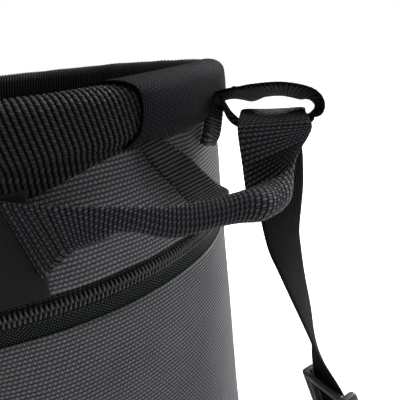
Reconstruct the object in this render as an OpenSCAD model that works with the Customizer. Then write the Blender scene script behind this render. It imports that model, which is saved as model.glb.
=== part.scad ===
// Rope storage bag: an open-topped fabric cylinder with a padded hoop rim, a zipped front pocket,
// side loops and two adjustable shoulder straps.
// Millimetres. The origin is the centre of the base, on the surface that the bag stands on; +Z is up,
// -Y is the front (pocket side), +Y is the back and the two shoulder straps hang at +X and -X.
// Angles are measured around the bag from +X towards +Y.

/* [Bag] */
// Outside diameter of the fabric wall
bag_d = 260; // [240:2:280]
// Height from the floor to the top of the rim
bag_h = 400; // [380:2:440]
// Thickness of the coated outer fabric
wall_t = 1.6; // [1:0.1:1.8]
// Thickness of the lining
liner_t = 1.2; // [0.8:0.1:1.4]
// Thickness of the board that stiffens the base
board_t = 3; // [2:0.5:4]

/* [Rim] */
// Radial thickness of the padded rim roll
roll_w = 16; // [15:0.5:18]
// Height of the padded rim roll
roll_h = 25; // [22:0.5:28]
// Diameter of the hoop that holds the mouth open
hoop_d = 7; // [6:0.5:8]
// Thickness of the webbing cover around the roll
cover_t = 1.5; // [1.2:0.1:2]
// Thickness of the sleeve that wraps the rim at each side
sleeve_t = 2.4; // [2:0.1:3]
// Angle of rim that each sleeve covers, in degrees
sleeve_arc = 48; // [40:1:54]

/* [Zip] */
// Drop from the top of the rim to the middle of the zip chain
zip_drop = 83; // [80:1:90]
// Angle around the front that the zip spans, in degrees
zip_arc = 230; // [200:2:236]
// Width of the coil chain
chain_w = 6.2; // [5.8:0.1:6.6]
// Height of the slot in the outer fabric that shows the tapes
slot_h = 17.5; // [16.5:0.5:20]

/* [Webbing] */
// Width of the shoulder strap webbing
strap_w = 30; // [28:1:32]
// Width of the webbing of the rim loops
loop_w = 20; // [18:1:21]
// Width of the webbing of the side gear loops
gear_w = 18; // [15:1:20]
// Thickness of all webbing
web_t = 2; // [1.6:0.1:2.2]

/* [Hidden] */

$fn = 96;
bag_r = bag_d / 2;
gap = 0.2;

// Base
base_t = 2;
base_inset = 2;
binding_h = 14;
binding_t = 1.8;
floor_t = 0.8;
liner_r = bag_r - 6.4;
board_z = base_t + gap;
floor_z = board_z + board_t + gap;
liner_z = floor_z + floor_t + gap;

// Rim roll: a tall oval section about the line that the wall runs up to
roll_r = roll_w / 2;
roll_at = bag_r - 2;
roll_top = bag_h - roll_r;
roll_low = bag_h - roll_h + roll_r;
foam_r = roll_r - cover_t - gap;
sleeve_r = roll_r + gap + sleeve_t;
hoop_z = roll_top - 1.5;
lip_drop = bag_h - roll_low + roll_r + 9;
lip_t = 1.3;
lip_out = bag_r + gap + lip_t;
lip_in = liner_r - liner_t - gap - lip_t;
panel_top = roll_low - roll_r - gap;

// Zip: the chain runs round the front and its closed end is at the left, behind the silhouette
zip_z = bag_h - zip_drop;
zip_from = -90 - zip_arc / 2;
slot_low = zip_z - 11.5;
slot_top = slot_low + slot_h;
coil_gap = 1.4;
coil_in = bag_r - 1.8;
coil_out = bag_r + 0.8;
tape_in = bag_r - 3;
tape_w = 17;
slider_len = 9;
slider_turn = 6;
slider_at = zip_from + slider_turn;
plate_in = bag_r + 1.2;
plate_t = 1.8;
crown_t = 4.4;
pull_axis_r = plate_in + plate_t + 2.4;
pull_pin_r = 0.9;
pull_hole_r = 1.25;
pull_len = 30;

// Straps
strip_at = -51.6;
strip_skin = bag_r + gap;
swing_low = [bag_r + 15, 0, 30];
slider_travel = [0.2676, 0, -0.9635];
slider_mid = [bag_r + 63.4, 0, bag_h - 190];
slider_twist = -43;
tab_low = swing_low[2] - strap_w / 2;

// Each front strap station: [outset, angle, drop] of its upper edge, then of its lower edge
FRONT_STRAP = [
  [[3, -48, 36], [5, -49, 58]],
  [[13, -41, 38], [19, -43, 56]],
  [[23, -32, 42], [25, -34, 51]],
  [[35, -21, 46], [37, -23, 58]],
  [[46, -14, 45], [41, -16, 55]],
  [[54, -9.5, 36], [36, -14, 51]],
  [[57, -8.7, 27], [31, -12, 30]],
  [[51, -7.8, 17.5], [30, -9.6, 17.5]],
  [[50, -1.6, 19.5], [25, -2.4, 19]],
  [[49.5, 0.8, 22.5], [20, 1.7, 21.5]],
  [[49, 0.7, 26], [19, 1, 26]],
  [[48.8, 0.4, 29.6], [18.8, 0.4, 29.6]]
];

// Shoulder strap stations, all on the plane y = 0: [outset from the wall, height, twist of the width]
SHOULDER_STRAP = [
  [34, bag_h - 32.5, 80],
  [34.3, bag_h - 44, 68],
  [38, bag_h - 58, 55],
  [39, bag_h - 76, 36],
  [41, bag_h - 98, 18],
  [48, bag_h - 130, 0],
  [54, bag_h - 156, -18],
  [57.8, bag_h - 170, -43],
  [63.4, bag_h - 190, -43],
  [76.8, bag_h - 238, -43],
  [79, bag_h - 262, -25],
  [76, bag_h - 296, -8],
  [64, bag_h - 332, -20],
  [46, 40, -55],
  [30, 31, -82],
  [16.4, 30, -90]
];

// Rim loop stations: [outset, angle, drop] of the middle line; the loop goes out low and comes back high
RIM_LOOP = [
  [12.5, -3.4, 20.5],
  [20, -3.6, 22],
  [32, -4.4, 23.5],
  [46, -4.3, 24],
  [55.6, -3.6, 19.5],
  [49, -3.2, 12],
  [37, -3.2, 9],
  [23, -3.2, 11],
  [12.5, -3.4, 16.5]
];

// Gear loop stations: [outset, angle, drop] of the middle line
GEAR_LOOP = [[3.2, -22, 39], [7.5, -16, 47], [12, -8, 56], [12, 2, 63], [2.8, 15, 67]];

// Lean of the gear loop's width above the horizontal
gear_tilt = 50;

// ---- helpers ----

// A point given by its outset from the wall, its angle and its drop below the top of the rim
function at(p) = [
  (bag_r + p[0]) * cos(p[1]),
  (bag_r + p[0]) * sin(p[1]),
  bag_h - p[2]
];

function unit(v) = v / norm(v);

function curve_at(a, b, c, d, t) =
  0.5 * (2 * b + (c - a) * t + (2 * a - 5 * b + 4 * c - d) * t * t + (3 * b - a - 3 * c + d) * t * t * t);

// A smooth curve through every point of p, with k steps between neighbours
function smooth(p, k) = [
  for (i = [0:len(p) - 2], s = [0:k - 1])
    curve_at(p[max(i - 1, 0)], p[i], p[i + 1], p[min(i + 2, len(p) - 1)], s / k),
  p[len(p) - 1]
];

function along(p, i) = unit(p[min(i + 1, len(p) - 1)] - p[max(i - 1, 0)]);

// A flat strap between two edge lines of equal length
module ribbon(edge_a, edge_b, t) {
  n = len(edge_a);
  mid = (edge_a + edge_b) / 2;
  points = [
    for (i = [0:n - 1])
      let (off = unit(cross(along(mid, i), edge_b[i] - edge_a[i])) * t / 2)
        each [edge_a[i] + off, edge_b[i] + off, edge_b[i] - off, edge_a[i] - off]
  ];
  sides = [
    for (i = [0:n - 2], k = [0:3])
      let (a = 4 * i + k, b = 4 * i + (k + 1) % 4)
        each [[a, b, b + 4], [a, b + 4, a + 4]]
  ];
  last = 4 * (n - 1);
  ends = [[0, 2, 1], [0, 3, 2], [last, last + 1, last + 2], [last, last + 2, last + 3]];
  polyhedron(points = points, faces = concat(sides, ends));
}

// A strap of constant width w along a middle line, with the width direction given at each point
module strap(mid, wide, w, t) {
  n = len(mid);
  side = [
    for (i = [0:n - 1])
      let (d = along(mid, i))
        unit(wide[i] - d * (wide[i] * d)) * w / 2
  ];
  ribbon(mid - side, mid + side, t);
}

// A part of a ring with a rectangular section
module ring_arc(r_in, r_out, z_low, z_top, from, arc) {
  rotate([0, 0, from])
    rotate_extrude(angle = arc)
      translate([r_in, z_low])
        square([r_out - r_in, z_top - z_low]);
}

module oval(r) {
  for (z = [roll_low, roll_top])
    translate([roll_at, z])
      circle(r = r);
  translate([roll_at - r, roll_low])
    square([2 * r, roll_top - roll_low]);
}

module left() {
  mirror([1, 0, 0])
    children();
}

// ---- base ----

drain_spots = [for (a = [45:90:315]) [70 * cos(a), 70 * sin(a), 0]];
drain_r = 4;
drain_flange_r = 8;
drain_flange_t = 0.6;

module drains(r, z, h) {
  for (spot = drain_spots)
    translate(spot + [0, 0, z])
      cylinder(r = r, h = h);
}

module base_panel() {
  color("dimgray")
    difference() {
      cylinder(r = bag_r - base_inset, h = base_t);
      drains(drain_r + 1 + gap, -1, base_t + 2);
      drains(drain_flange_r + gap, -1, 1 + drain_flange_t + gap);
    }
}

module base_board() {
  color("black")
    difference() {
      translate([0, 0, board_z])
        cylinder(r = liner_r, h = board_t);
      drains(drain_r + 1 + gap, 0, floor_z);
    }
}

module base_binding() {
  color("black")
    ring_arc(bag_r + gap, bag_r + gap + binding_t, 0, binding_h, 0, 360);
}

module drain_eyelets() {
  inner_face = floor_z + floor_t + gap;
  color("silver")
    difference() {
      union() {
        drains(drain_r + 1, gap, inner_face);
        drains(drain_flange_r, gap / 2, drain_flange_t);
        drains(drain_flange_r, inner_face, drain_flange_t);
      }
      drains(drain_r, -1, floor_z + base_t + 5);
    }
}

module liner_floor() {
  color("gray")
    difference() {
      translate([0, 0, floor_z])
        cylinder(r = liner_r, h = floor_t);
      drains(drain_r + 1 + gap, 0, liner_z + 5);
    }
}

// ---- wall ----

module liner() {
  color("gray")
    ring_arc(liner_r - liner_t, liner_r, liner_z, panel_top - 0.8, 0, 360);
}

module pocket_panel() {
  color("dimgray")
    ring_arc(bag_r - wall_t, bag_r, gap, slot_low, zip_from, zip_arc);
}

module collar_panel() {
  color("dimgray")
    ring_arc(bag_r - wall_t, bag_r, slot_top, panel_top, zip_from, zip_arc);
}

module back_panel() {
  seam = 0.1;
  color("dimgray")
    ring_arc(bag_r - wall_t, bag_r, gap, panel_top, zip_from + zip_arc + seam, 360 - zip_arc - 2 * seam);
}

module side_seam_tapes() {
  tape_arc = 7;
  color("black")
    for (a = [zip_from, zip_from + zip_arc])
      ring_arc(bag_r - wall_t - gap - 1, bag_r - wall_t - gap, liner_z, slot_low - 8, a - tape_arc / 2, tape_arc);
}

// ---- zip ----

module zip_tape_lower() {
  color("black")
    ring_arc(tape_in, coil_in - gap, zip_z - tape_w, zip_z - coil_gap / 2, zip_from, zip_arc);
}

module zip_tape_upper() {
  color("black")
    ring_arc(tape_in, coil_in - gap, zip_z + coil_gap / 2, zip_z + tape_w, zip_from, zip_arc);
}

module zip_coil_lower() {
  color("black")
    ring_arc(coil_in, coil_out, zip_z - chain_w / 2, zip_z - coil_gap / 2, zip_from + 1.2, zip_arc - 2.4);
}

module zip_coil_upper() {
  color("black")
    ring_arc(coil_in, coil_out, zip_z + coil_gap / 2, zip_z + chain_w / 2, zip_from + 1.2, zip_arc - 2.4);
}

module zip_stops() {
  stop_h = chain_w + 1;
  color("silver")
    for (a = [zip_from + 0.2, zip_from + zip_arc - 1])
      ring_arc(coil_in, coil_out + 0.4, zip_z - stop_h / 2, zip_z + stop_h / 2, a, 0.8);
}

module zip_end_tabs() {
  tab_arc = 8;
  color("black")
    for (a = [zip_from - tab_arc, zip_from + zip_arc])
      ring_arc(bag_r + gap, bag_r + gap + 1.4, slot_low - 6, slot_top + 5, a, tab_arc);
}

// The slider's two plates clasp the tapes and a thin neck joins them between the two coils
module slider_plate(r_in, r_out, h) {
  turn = slider_len / bag_r * 180 / PI;
  ring_arc(r_in, r_out, zip_z - h / 2, zip_z + h / 2, -turn / 2, turn);
}

module zip_slider() {
  neck_h = 0.6;
  crown_w = 4;
  crown_h = 6;
  rotate([0, 0, slider_at])
    color("black")
      difference() {
        union() {
          slider_plate(plate_in, plate_in + plate_t, 11);
          slider_plate(tape_in - 0.6 - plate_t, tape_in - 0.6, 9);
          slider_plate(tape_in - 1, plate_in + 0.2, neck_h);
          translate([plate_in + plate_t - 0.3, -crown_w / 2, zip_z - crown_h / 2])
            cube([crown_t + 0.3, crown_w, crown_h]);
        }
        translate([pull_axis_r, 0, zip_z])
          rotate([90, 0, 0])
            cylinder(r = pull_hole_r, h = crown_w + 2, center = true);
      }
}

// The pull hangs from a cross pin in the slider's crown
module zip_pull() {
  fork_in = 2.5;
  fork_out = 4.5;
  pull_t = 1.8;
  rotate([0, 0, slider_at])
    translate([pull_axis_r, 0, zip_z])
      color("dimgray") {
        rotate([90, 0, 0])
          cylinder(r = pull_pin_r, h = 2 * fork_in + 1, center = true);
        for (side = [-1, 1])
          translate([-pull_t / 2, side > 0 ? fork_in : -fork_out, -8])
            cube([pull_t, fork_out - fork_in, 8.9]);
        translate([-pull_t / 2, -fork_out, -pull_len])
          cube([pull_t, 2 * fork_out, pull_len - 7]);
      }
}

// ---- rim ----

hoop_seam = 100;
ferrule_arc = 14;

module rim_hoop() {
  color("silver")
    rotate([0, 0, hoop_seam + 0.2])
      rotate_extrude(angle = 359.6)
        translate([roll_at, hoop_z])
          circle(d = hoop_d);
}

// A short tube joins the two ends of the hoop
module hoop_ferrule() {
  color("silver")
    rotate([0, 0, hoop_seam - ferrule_arc / 2])
      rotate_extrude(angle = ferrule_arc)
        translate([roll_at, hoop_z])
          difference() {
            circle(d = hoop_d + 2.2);
            circle(d = hoop_d + 2 * gap);
          }
}

module rim_foam() {
  color("gray")
    difference() {
      rotate_extrude()
        difference() {
          oval(foam_r);
          translate([roll_at, hoop_z])
            circle(d = hoop_d + 2 * gap);
        }
      rotate([0, 0, hoop_seam - ferrule_arc / 2 - 0.3])
        rotate_extrude(angle = ferrule_arc + 0.6)
          translate([roll_at, hoop_z])
            circle(d = hoop_d + 2.2 + 2 * gap);
    }
}

// Ribbed webbing around the roll, with a lip down each side of the wall
module rim_cover() {
  lip_low = bag_h - lip_drop;
  color("black")
    rotate_extrude()
      difference() {
        union() {
          oval(roll_r);
          translate([bag_r + gap, lip_low])
            square([lip_t, roll_low - lip_low]);
          translate([lip_in, lip_low])
            square([lip_t, roll_low - lip_low]);
        }
        oval(roll_r - cover_t);
      }
}

module sleeve_right() {
  color("black")
    rotate([0, 0, -sleeve_arc / 2 - 2])
      rotate_extrude(angle = sleeve_arc)
        difference() {
          oval(sleeve_r);
          oval(roll_r + gap);
          translate([lip_in - gap, 0])
            square([lip_out - lip_in + 2 * gap, roll_low]);
        }
}

// Webbing sewn under the sleeve that carries the rim loop
module loop_anchor_right() {
  out = lip_out + gap;
  color("black")
    rotate([0, 0, -8.5])
      rotate_extrude(angle = 10)
        polygon([
          [out, bag_h - 46], [out + web_t, bag_h - 46], [out + web_t, bag_h - 31],
          [bag_r + 11.2, bag_h - 27], [bag_r + 11.2, bag_h - 16], [bag_r + 9.2, bag_h - 16],
          [bag_r + 9.2, bag_h - 25.6], [out, bag_h - 28.6]
        ]);
}

module rim_loop_right() {
  mid = smooth([for (p = RIM_LOOP) at(p)], 4);
  low = [0.1, 0.98, -0.16];
  high = [0.1, 0.93, -0.35];
  last = len(mid) - 1;
  wide = [
    for (i = [0:last])
      let (lean = min(1, 2.5 * sin(180 * i / last)))
        lean * (i < last / 2 ? low : high) + (1 - lean) * [0.06, 1, 0]
  ];
  color("black")
    strap(mid, wide, loop_w, web_t);
}

module gear_loop_right() {
  mid = smooth([for (p = GEAR_LOOP) at(p)], 4);
  wide = [for (p = mid) [-cos(gear_tilt) * p[1] / bag_r, cos(gear_tilt) * p[0] / bag_r, sin(gear_tilt)]];
  color("black")
    strap(mid, wide, gear_w, web_t);
}

// ---- shoulder straps ----

module anchor_strip_right() {
  turn = strap_w / bag_r * 180 / PI;
  color("black")
    ring_arc(strip_skin, strip_skin + web_t, slot_top + 0.5, bag_h - lip_drop - gap, strip_at - turn / 2, turn);
}

module front_strap_right() {
  color("black")
    ribbon(
      smooth([for (s = FRONT_STRAP) at(s[0])], 4),
      smooth([for (s = FRONT_STRAP) at(s[1])], 4),
      web_t
    );
}

// The width direction of the hanging strap at a twist angle, where d is the strap's own direction
function strap_wide(d, twist) = cos(twist) * [0, 1, 0] + sin(twist) * cross(d, [0, 1, 0]);

module shoulder_strap_right() {
  route = smooth(SHOULDER_STRAP, 4);
  mid = [for (s = route) [bag_r + s[0], 0, s[1]]];
  wide = [for (i = [0:len(mid) - 1]) strap_wide(along(mid, i), route[i][2])];
  color("black")
    strap(mid, wide, strap_w, web_t);
}

// A three-bar slider: two bars pass on the strap's bag side and the middle one on its outer side
module strap_slider_right() {
  rail_w = 5;
  bar_t = 3;
  clear = 0.6;
  slot_w = strap_w + 2 * clear;
  body_h = 27;
  bar_w = 5;
  wide = strap_wide(slider_travel, slider_twist);
  front = cross(slider_travel, wide);
  near = web_t / 2 + clear;
  color("dimgray")
    multmatrix([
      [wide[0], front[0], -slider_travel[0], slider_mid[0]],
      [wide[1], front[1], -slider_travel[1], slider_mid[1]],
      [wide[2], front[2], -slider_travel[2], slider_mid[2]],
      [0, 0, 0, 1]
    ])
      union() {
        for (side = [-1, 1])
          translate([side > 0 ? slot_w / 2 : -slot_w / 2 - rail_w, -near - bar_t, -body_h / 2])
            cube([rail_w, 2 * near + 2 * bar_t, body_h]);
        for (z = [-body_h / 2, body_h / 2 - bar_w])
          translate([-slot_w / 2 - 1, -near - bar_t, z])
            cube([slot_w + 2, bar_t, bar_w]);
        translate([-slot_w / 2 - 1, near, -bar_w / 2])
          cube([slot_w + 2, bar_t, bar_w]);
      }
}

// A doubled end of webbing stands out of the wall, above the base binding
module base_tab_right() {
  stub_end = swing_low[0] - 1.4;
  color("black") {
    ring_arc(bag_r + gap, bag_r + gap + web_t, binding_h + gap, tab_low + strap_w + 4, -9, 18);
    translate([bag_r + web_t - 0.5, -web_t / 2, tab_low])
      cube([stub_end - bag_r - web_t + 0.5, web_t, strap_w]);
  }
}

// ---- handle and rope tie loops ----

HANDLE = [[1.4, 67, 52], [6, 70, 52], [24, 77, 52], [33, 90, 52], [24, 103, 52], [6, 110, 52], [1.4, 113, 52]];

module haul_handle() {
  mid = smooth([for (p = HANDLE) at(p)], 4);
  wide = [for (p = mid) [0, 0, 1]];
  color("black")
    strap(mid, wide, strap_w, web_t);
}

module handle_grip() {
  mid = smooth([for (p = HANDLE) at(p)], 4);
  middle = [for (i = [9:len(mid) - 10]) mid[i]];
  inner = [for (i = [8:len(mid) - 9]) mid[i]];
  up = [for (p = inner) [0, 0, 1]];
  color("black")
    difference() {
      strap(middle, up, strap_w + 8, web_t + 6);
      strap(inner, up, strap_w + 2 * gap, web_t + 2 * gap);
    }
}

// The rope's end is tied to a loop on the floor, and its working end to one under the rim
module tie_loop_base() {
  span = 18;
  rise = 26;
  foot = liner_z + web_t / 2 + 1.6;
  loop_at = 98;
  mid = smooth([
    [-span - 14, loop_at, foot], [-span, loop_at, foot], [-span + 4, loop_at, foot + rise * 0.7],
    [0, loop_at, foot + rise], [span - 4, loop_at, foot + rise * 0.7], [span, loop_at, foot],
    [span + 14, loop_at, foot]
  ], 3);
  wide = [for (p = mid) [0, 1, 0]];
  color("black")
    strap(mid, wide, 20, web_t);
}

module tie_loop_top() {
  wall_r = liner_r - liner_t - 1.9 - web_t / 2;
  bulge = 24;
  mid = smooth([
    [0, wall_r, bag_h - 38], [0, wall_r, bag_h - 48], [0, wall_r - bulge * 0.8, bag_h - 58],
    [0, wall_r - bulge, bag_h - 68], [0, wall_r - bulge * 0.8, bag_h - 78], [0, wall_r, bag_h - 88],
    [0, wall_r, bag_h - 98]
  ], 3);
  wide = [for (p = mid) [1, 0, 0]];
  color("black")
    strap(mid, wide, 20, web_t);
}

base_panel();
base_board();
base_binding();
liner_floor();
liner();
pocket_panel();
collar_panel();
back_panel();
side_seam_tapes();
zip_tape_lower();
zip_tape_upper();
zip_coil_lower();
zip_coil_upper();
zip_stops();
zip_end_tabs();
zip_slider();
zip_pull();
rim_hoop();
hoop_ferrule();
rim_foam();
rim_cover();
sleeve_right();
left() sleeve_right();  // sleeve_left
loop_anchor_right();
left() loop_anchor_right();  // loop_anchor_left
rim_loop_right();
left() rim_loop_right();  // rim_loop_left
gear_loop_right();
left() gear_loop_right();  // gear_loop_left
anchor_strip_right();
left() anchor_strip_right();  // anchor_strip_left
front_strap_right();
left() front_strap_right();  // front_strap_left
shoulder_strap_right();
left() shoulder_strap_right();  // shoulder_strap_left
strap_slider_right();
left() strap_slider_right();  // strap_slider_left
base_tab_right();
left() base_tab_right();  // base_tab_left
haul_handle();
handle_grip();
tie_loop_base();
tie_loop_top();
drain_eyelets();
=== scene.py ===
"""Rope storage bag: soft pieces, materials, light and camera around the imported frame.

Lengths in the code are millimetres in the frame's own axes; MM turns them into Blender's metres.
Angles are degrees round the bag from +X towards +Y. side is 1 for the right-hand piece, -1 for the left.
"""
import math

import bmesh
import bpy
import numpy as np
from mathutils import Matrix, Vector


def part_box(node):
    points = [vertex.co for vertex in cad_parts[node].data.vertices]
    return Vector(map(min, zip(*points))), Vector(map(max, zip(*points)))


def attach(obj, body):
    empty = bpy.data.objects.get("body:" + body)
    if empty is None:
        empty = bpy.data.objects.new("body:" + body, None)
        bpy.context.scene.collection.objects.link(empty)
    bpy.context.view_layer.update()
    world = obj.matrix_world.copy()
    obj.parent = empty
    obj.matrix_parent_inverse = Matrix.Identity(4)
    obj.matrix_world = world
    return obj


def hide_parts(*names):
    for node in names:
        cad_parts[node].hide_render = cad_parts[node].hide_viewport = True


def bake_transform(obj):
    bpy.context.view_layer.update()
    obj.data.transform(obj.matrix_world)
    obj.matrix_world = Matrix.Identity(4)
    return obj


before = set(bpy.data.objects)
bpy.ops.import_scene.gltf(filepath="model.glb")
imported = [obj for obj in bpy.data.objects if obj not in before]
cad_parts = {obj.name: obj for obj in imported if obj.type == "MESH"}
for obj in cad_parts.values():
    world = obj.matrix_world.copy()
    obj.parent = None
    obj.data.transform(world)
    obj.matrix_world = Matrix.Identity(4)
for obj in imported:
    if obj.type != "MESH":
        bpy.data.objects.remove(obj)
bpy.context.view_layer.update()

MM = 0.001


# ---------------------------------------------------------------- sizes taken from the frame

def corner(node, which, axis):
    """A coordinate of a CAD node's box in millimetres: which is 0 for low and 1 for high."""
    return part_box(node)[which][axis] / MM


WALL_R = -corner("pocket_panel", 0, 0)
RIM_TOP = corner("rim_cover", 1, 2)
LIP_LOW = corner("rim_cover", 0, 2)
POCKET_TOP = corner("pocket_panel", 1, 2)
COLLAR_LOW = corner("collar_panel", 0, 2)
COLLAR_TOP = corner("collar_panel", 1, 2)
ZIP_Z = (corner("zip_coil_lower", 0, 2) + corner("zip_coil_upper", 1, 2)) / 2
LINER_R = corner("liner", 1, 0)
FLOOR_Z = corner("liner_floor", 1, 2)
BINDING_H = corner("base_binding", 1, 2)
ROLL_OUT = corner("rim_cover", 1, 0)
ROLL_R = 8.0
ROLL_AT = ROLL_OUT - ROLL_R
ROLL_HIGH = RIM_TOP - ROLL_R
ROLL_LOW = COLLAR_TOP + 0.2 + ROLL_R
ZIP_FROM, ZIP_ARC = -205.0, 230.0
WEB_T = 1.8


# ---------------------------------------------------------------- camera

def link(name, data):
    """A new object in the scene."""
    made = bpy.data.objects.new(name, data)
    bpy.context.scene.collection.objects.link(made)
    return made


def look_from(place, forward, up, lens):
    """The camera at the photograph's place: forward and up are its axes in the frame."""
    data = bpy.data.cameras.new("camera")
    data.sensor_width = 36
    data.lens = lens
    data.clip_start, data.clip_end = 0.005, 50
    camera = link("camera", data)
    back = -Vector(forward).normalized()
    right = Vector(up).cross(back).normalized()
    turn = Matrix((right, back.cross(right), back)).transposed()
    camera.matrix_world = Matrix.Translation(Vector(place) * MM) @ turn.to_4x4()
    bpy.context.scene.camera = camera


# The photograph's camera, fitted to the outlines of the rim, the zip and the wall
CAMERA_PLACE = 210.9, -226.2, 414.2
CAMERA_FORWARD = -0.3374, 0.8835, -0.3251
CAMERA_UP = -0.0163, 0.3398, 0.9404
CAMERA_LENS = 42.6
look_from(CAMERA_PLACE, CAMERA_FORWARD, CAMERA_UP, CAMERA_LENS)


# ---------------------------------------------------------------- shader helpers

class Shader:
    """A Principled material built node by node."""

    def __init__(self, name, **constants):
        self.material = bpy.data.materials.new(name)
        self.material.use_nodes = True
        self.tree = self.material.node_tree
        self.principled = self.tree.nodes["Principled BSDF"]
        for socket, value in constants.items():
            self.principled.inputs[socket.replace("_", " ")].default_value = value

    def node(self, kind, **inputs):
        made = self.tree.nodes.new("ShaderNode" + kind)
        for socket, value in inputs.items():
            self.feed(made.inputs[socket.replace("_", " ")], value)
        return made

    def feed(self, socket, value):
        if isinstance(value, bpy.types.NodeSocket):
            self.tree.links.new(value, socket)
        else:
            socket.default_value = value

    def math(self, operation, a, b=0.0):
        made = self.tree.nodes.new("ShaderNodeMath")
        made.operation = operation
        self.feed(made.inputs[0], a)
        self.feed(made.inputs[1], b)
        return made.outputs[0]

    def vector(self, operation, a, b):
        made = self.tree.nodes.new("ShaderNodeVectorMath")
        made.operation = operation
        self.feed(made.inputs[0], a)
        self.feed(made.inputs[1], b)
        return made.outputs[0]

    def cloth(self):
        """Millimetres across and along the cloth."""
        made = self.tree.nodes.new("ShaderNodeUVMap")
        made.uv_map = "cloth"
        return made.outputs[0]

    def noise(self, vector, scale, detail=2.0):
        return self.node("TexNoise", Vector=vector, Scale=scale, Detail=detail).outputs["Fac"]

    def wander(self, vector, amount):
        """Moves the threads a little off their straight lines."""
        swirl = self.node("TexNoise", Vector=vector, Scale=0.05, Detail=1.0).outputs["Color"]
        centred = self.vector("SUBTRACT", swirl, (0.5, 0.5, 0.5))
        return self.vector("ADD", vector, self.vector("MULTIPLY", centred, (amount,) * 3))

    def weave(self, vector, pitch, under, slant, crown, bar, turned):
        """Height from 0 to 1 of a weave whose threads are pitch apart along u and v and lean by slant.

        bar is the share of the height that runs on unbroken along u; turned swaps u and v.
        """
        split = self.node("SeparateXYZ", Vector=vector)
        first, second = (split.outputs[i] for i in ((1, 0) if turned else (0, 1)))
        lean = self.math("MULTIPLY", second, slant)
        u = self.math("SINE", self.math("MULTIPLY", self.math("ADD", first, lean), math.pi / pitch[0]))
        v = self.math("SINE", self.math("MULTIPLY", second, math.pi / pitch[1]))
        product = self.math("MULTIPLY", u, v)
        over = self.math("POWER", self.math("MAXIMUM", product, 0.0), crown)
        below = self.math("POWER", self.math("MAXIMUM", self.math("MULTIPLY", product, -1.0), 0.0), crown)
        cross = self.math("MAXIMUM", over, self.math("MULTIPLY", below, under))
        long = self.math("MULTIPLY", self.math("POWER", self.math("ABSOLUTE", v), 2.0), bar)
        return self.math("ADD", long, self.math("MULTIPLY", cross, 1.0 - bar))

    def ramp(self, factor, low, high):
        made = self.tree.nodes.new("ShaderNodeMix")
        made.data_type = "RGBA"
        self.feed(made.inputs["Factor"], factor)
        made.inputs["A"].default_value = (*low, 1)
        made.inputs["B"].default_value = (*high, 1)
        return made.outputs["Result"]

    def tint(self, colour, factor, low, high):
        """colour times a gray between low and high."""
        gray = self.ramp(factor, (low,) * 3, (high,) * 3)
        made = self.tree.nodes.new("ShaderNodeMix")
        made.data_type = "RGBA"
        made.blend_type = "MULTIPLY"
        made.inputs["Factor"].default_value = 1.0
        self.feed(made.inputs["A"], colour)
        self.feed(made.inputs["B"], gray)
        return made.outputs["Result"]

    def bump(self, height, distance, strength=1.0, normal=None):
        made = self.node("Bump", Height=height, Distance=distance * MM, Strength=strength)
        if normal is not None:
            self.feed(made.inputs["Normal"], normal)
        return made.outputs[0]

    def set(self, **inputs):
        for socket, value in inputs.items():
            self.feed(self.principled.inputs[socket.replace("_", " ")], value)
        return self.material


def woven(name, low, high, pitch, depth, rough, sheen, wander=0.35, under=0.55, slant=0.0, shine=0.3,
          crown=0.7, bar=0.0, turned=False):
    """A woven cloth: its colour runs from high, the threads' own colour on the crowns, which also take the
    gloss, down to low, painted shade in the gaps between the threads.
    """
    s = Shader(name, Sheen_Roughness=0.5)
    where = s.wander(s.cloth(), wander)
    height = s.weave(where, pitch, under, slant, crown, bar, turned)
    fibres = s.noise(where, 1.6, 3.0)
    patches = s.noise(s.cloth(), 0.03, 4.0)
    # painted shade: the colour darkens from high on the crowns to low in the gaps between the threads
    colour = s.tint(s.ramp(height, low, high), fibres, 0.62, 1.38)
    colour = s.tint(colour, patches, 0.8, 1.2)
    relief = s.math("ADD", height, s.math("MULTIPLY", fibres, 0.3))
    roughness = s.math("ADD", s.math("MULTIPLY", fibres, 0.2), rough - 0.1)
    return s.set(
        Base_Color=colour,
        Roughness=roughness,
        Normal=s.bump(relief, depth),
        Specular_IOR_Level=s.math("MULTIPLY", height, shine),
        Sheen_Weight=s.math("MULTIPLY", height, sheen),
    )


def moulded(name, colour, rough, grain=0.06, metallic=0.0, wear=1.8):
    """Moulded plastic or painted metal: fine grain, lighter rubbed edges."""
    s = Shader(name, Metallic=metallic, Specular_IOR_Level=0.5)
    place = s.node("TexCoord").outputs["Object"]
    grains = s.noise(place, 2500.0, 2.0)
    blotch = s.noise(place, 60.0, 4.0)
    edges = s.math("MULTIPLY", s.math("SUBTRACT", s.node("NewGeometry").outputs["Pointiness"], 0.5), 6.0)
    edges = s.math("MINIMUM", s.math("MAXIMUM", edges, 0.0), 1.0)
    colour = s.ramp(edges, colour, tuple(min(1.0, c * wear) for c in colour))
    colour = s.tint(colour, blotch, 0.85, 1.15)
    roughness = s.math("ADD", s.math("MULTIPLY", blotch, 0.2), rough - 0.1)
    return s.set(Base_Color=colour, Roughness=roughness, Normal=s.bump(grains, grain, 0.5))


RIM_RIBS = 356
RIB_PITCH = 2 * math.pi * ROLL_OUT / RIM_RIBS
# Each woven cloth's first colour is painted shade in the gaps between its threads; the second is its colour
# on the crowns.
CLOTH_GRAY = woven(
    "coated_gray_weave", (0.009, 0.010, 0.012), (0.185, 0.190, 0.200), pitch=(1.05, 2.0), depth=0.35,
    rough=0.66, sheen=0.05, wander=1.3, under=0.4, slant=0.12, shine=0.2, bar=0.27,
)
WEBBING = woven(
    "black_webbing", (0.0024, 0.0019, 0.0027), (0.074, 0.067, 0.078), pitch=(0.95, 1.7), depth=0.35,
    rough=0.55, sheen=0.03, wander=0.6, under=0.4, slant=0.3, shine=0.22, crown=1.0, bar=0.18,
)
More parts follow.
